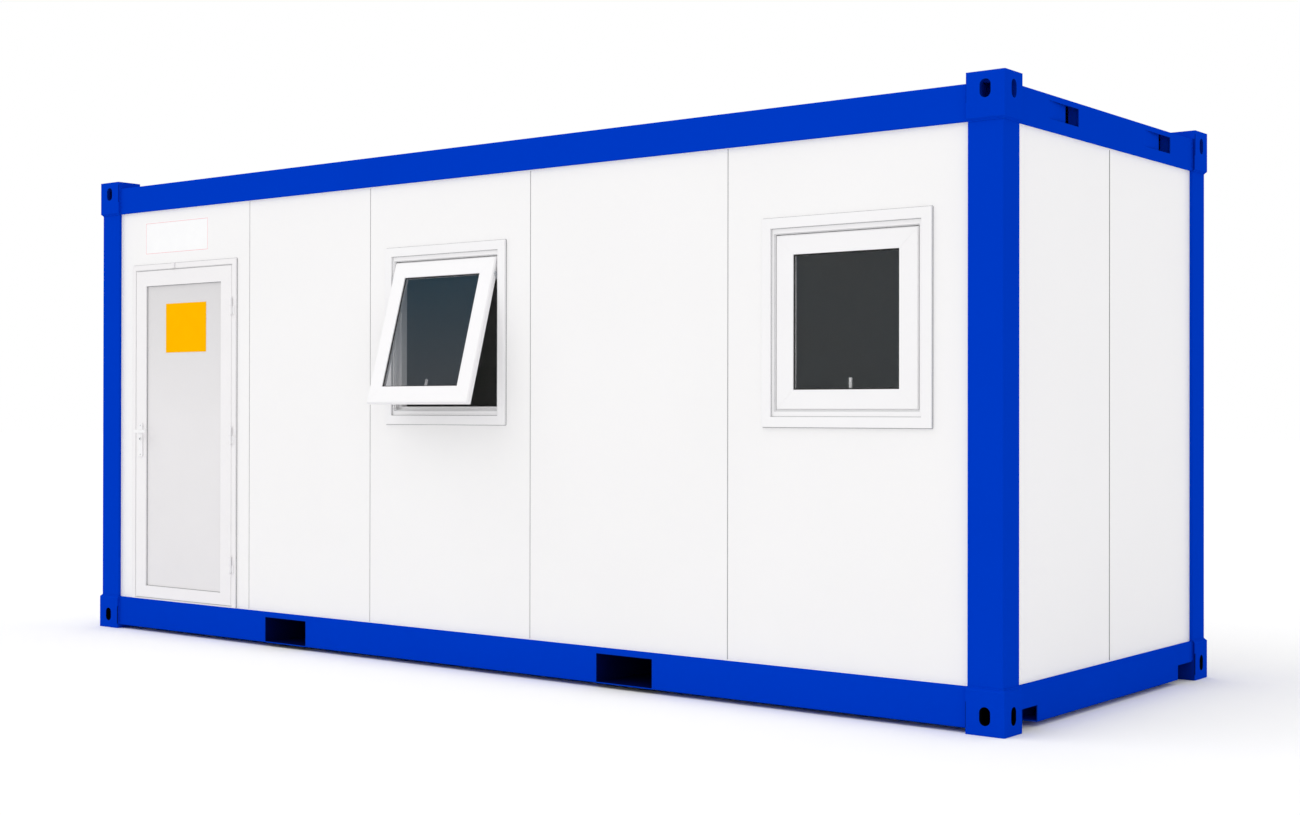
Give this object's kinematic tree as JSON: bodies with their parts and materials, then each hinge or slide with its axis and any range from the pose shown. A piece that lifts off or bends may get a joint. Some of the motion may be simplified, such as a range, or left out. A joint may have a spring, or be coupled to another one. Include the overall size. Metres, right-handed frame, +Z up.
{
  "type": "container cabin",
  "caption": "Site cabin on a container frame: steel posts and rails with corner fittings, insulated wall panels, an outward door, a closed window and one standing open.",
  "frame": {"origin": "on the ground, in the middle of the four bottom corner fittings", "axes": "+X along the length away from the door end, -Y out of the front wall with the door, +Z up"},
  "size_m": [6.058, 2.6356, 2.82],
  "materials": {
    "frame_paint": "satin",
    "panel_paint": "satin",
    "roof_paint": "satin",
    "white_plastic": "gloss",
    "door_infill": "matte",
    "sign_plastic": "matte",
    "tinted_glass": "gloss",
    "bare_steel": "brushed",
    "seal_rubber": "matte",
    "floor_board": "matte"
  },
  "bodies": {
    "cabin": {"bottom_corner_fittings": "frame_paint", "top_corner_fittings": "frame_paint", "front_left_post": "frame_paint", "front_right_post": "frame_paint", "back_left_post": "frame_paint", "back_right_post": "frame_paint", "front_bottom_rail": "frame_paint", "back_bottom_rail": "frame_paint", "left_bottom_rail": "frame_paint", "right_bottom_rail": "frame_paint", "front_top_rail": "frame_paint", "back_top_rail": "frame_paint", "left_top_rail": "frame_paint", "right_top_rail": "frame_paint", "fork_tunnels": "frame_paint", "floor_joists": "frame_paint", "ceiling_panel": "panel_paint", "front_wall_left_of_door": "panel_paint", "front_wall_right_of_door": "panel_paint", "front_wall_over_door": "panel_paint", "front_wall_second_panel": "panel_paint", "front_wall_third_panel": "panel_paint", "front_wall_fourth_panel": "panel_paint", "front_wall_fifth_panel": "panel_paint", "back_wall_panels": "panel_paint", "left_end_panels": "panel_paint", "right_end_panels": "panel_paint", "first_window_frame": "white_plastic", "first_window_sash": "white_plastic", "first_window_handle": "white_plastic", "second_window_frame": "white_plastic", "second_window_sash": "white_plastic", "second_window_handle": "white_plastic", "door_frame": "white_plastic", "door_frame_hinges": "white_plastic", "floor_deck": "floor_board", "roof_sheet": "roof_paint", "first_window_glass": "tinted_glass", "second_window_glass": "tinted_glass", "first_window_stays": "bare_steel"},
    "door": {"door_leaf": "white_plastic", "door_infill": "door_infill", "door_sign": "sign_plastic", "door_handle_plates": "white_plastic", "door_leaf_hinges": "white_plastic"},
    "lever": {"door_lever": "white_plastic"}
  },
  "joints": [
    {"name": "door_swing", "type": "hinge", "parent": "cabin", "child": "door", "pos_m": [-1.8125, -1.205, 1.227], "axis": [0, 0, 1], "range_deg": [0, 110]},
    {"name": "lever_turn", "type": "hinge", "parent": "door", "child": "lever", "pos_m": [-2.649, -1.1735, 1.245], "axis": [0, 1, 0], "range_deg": [0, 40], "stiffness_Nm_per_rad": 1.5, "springref_deg": -28.65}
  ]
}
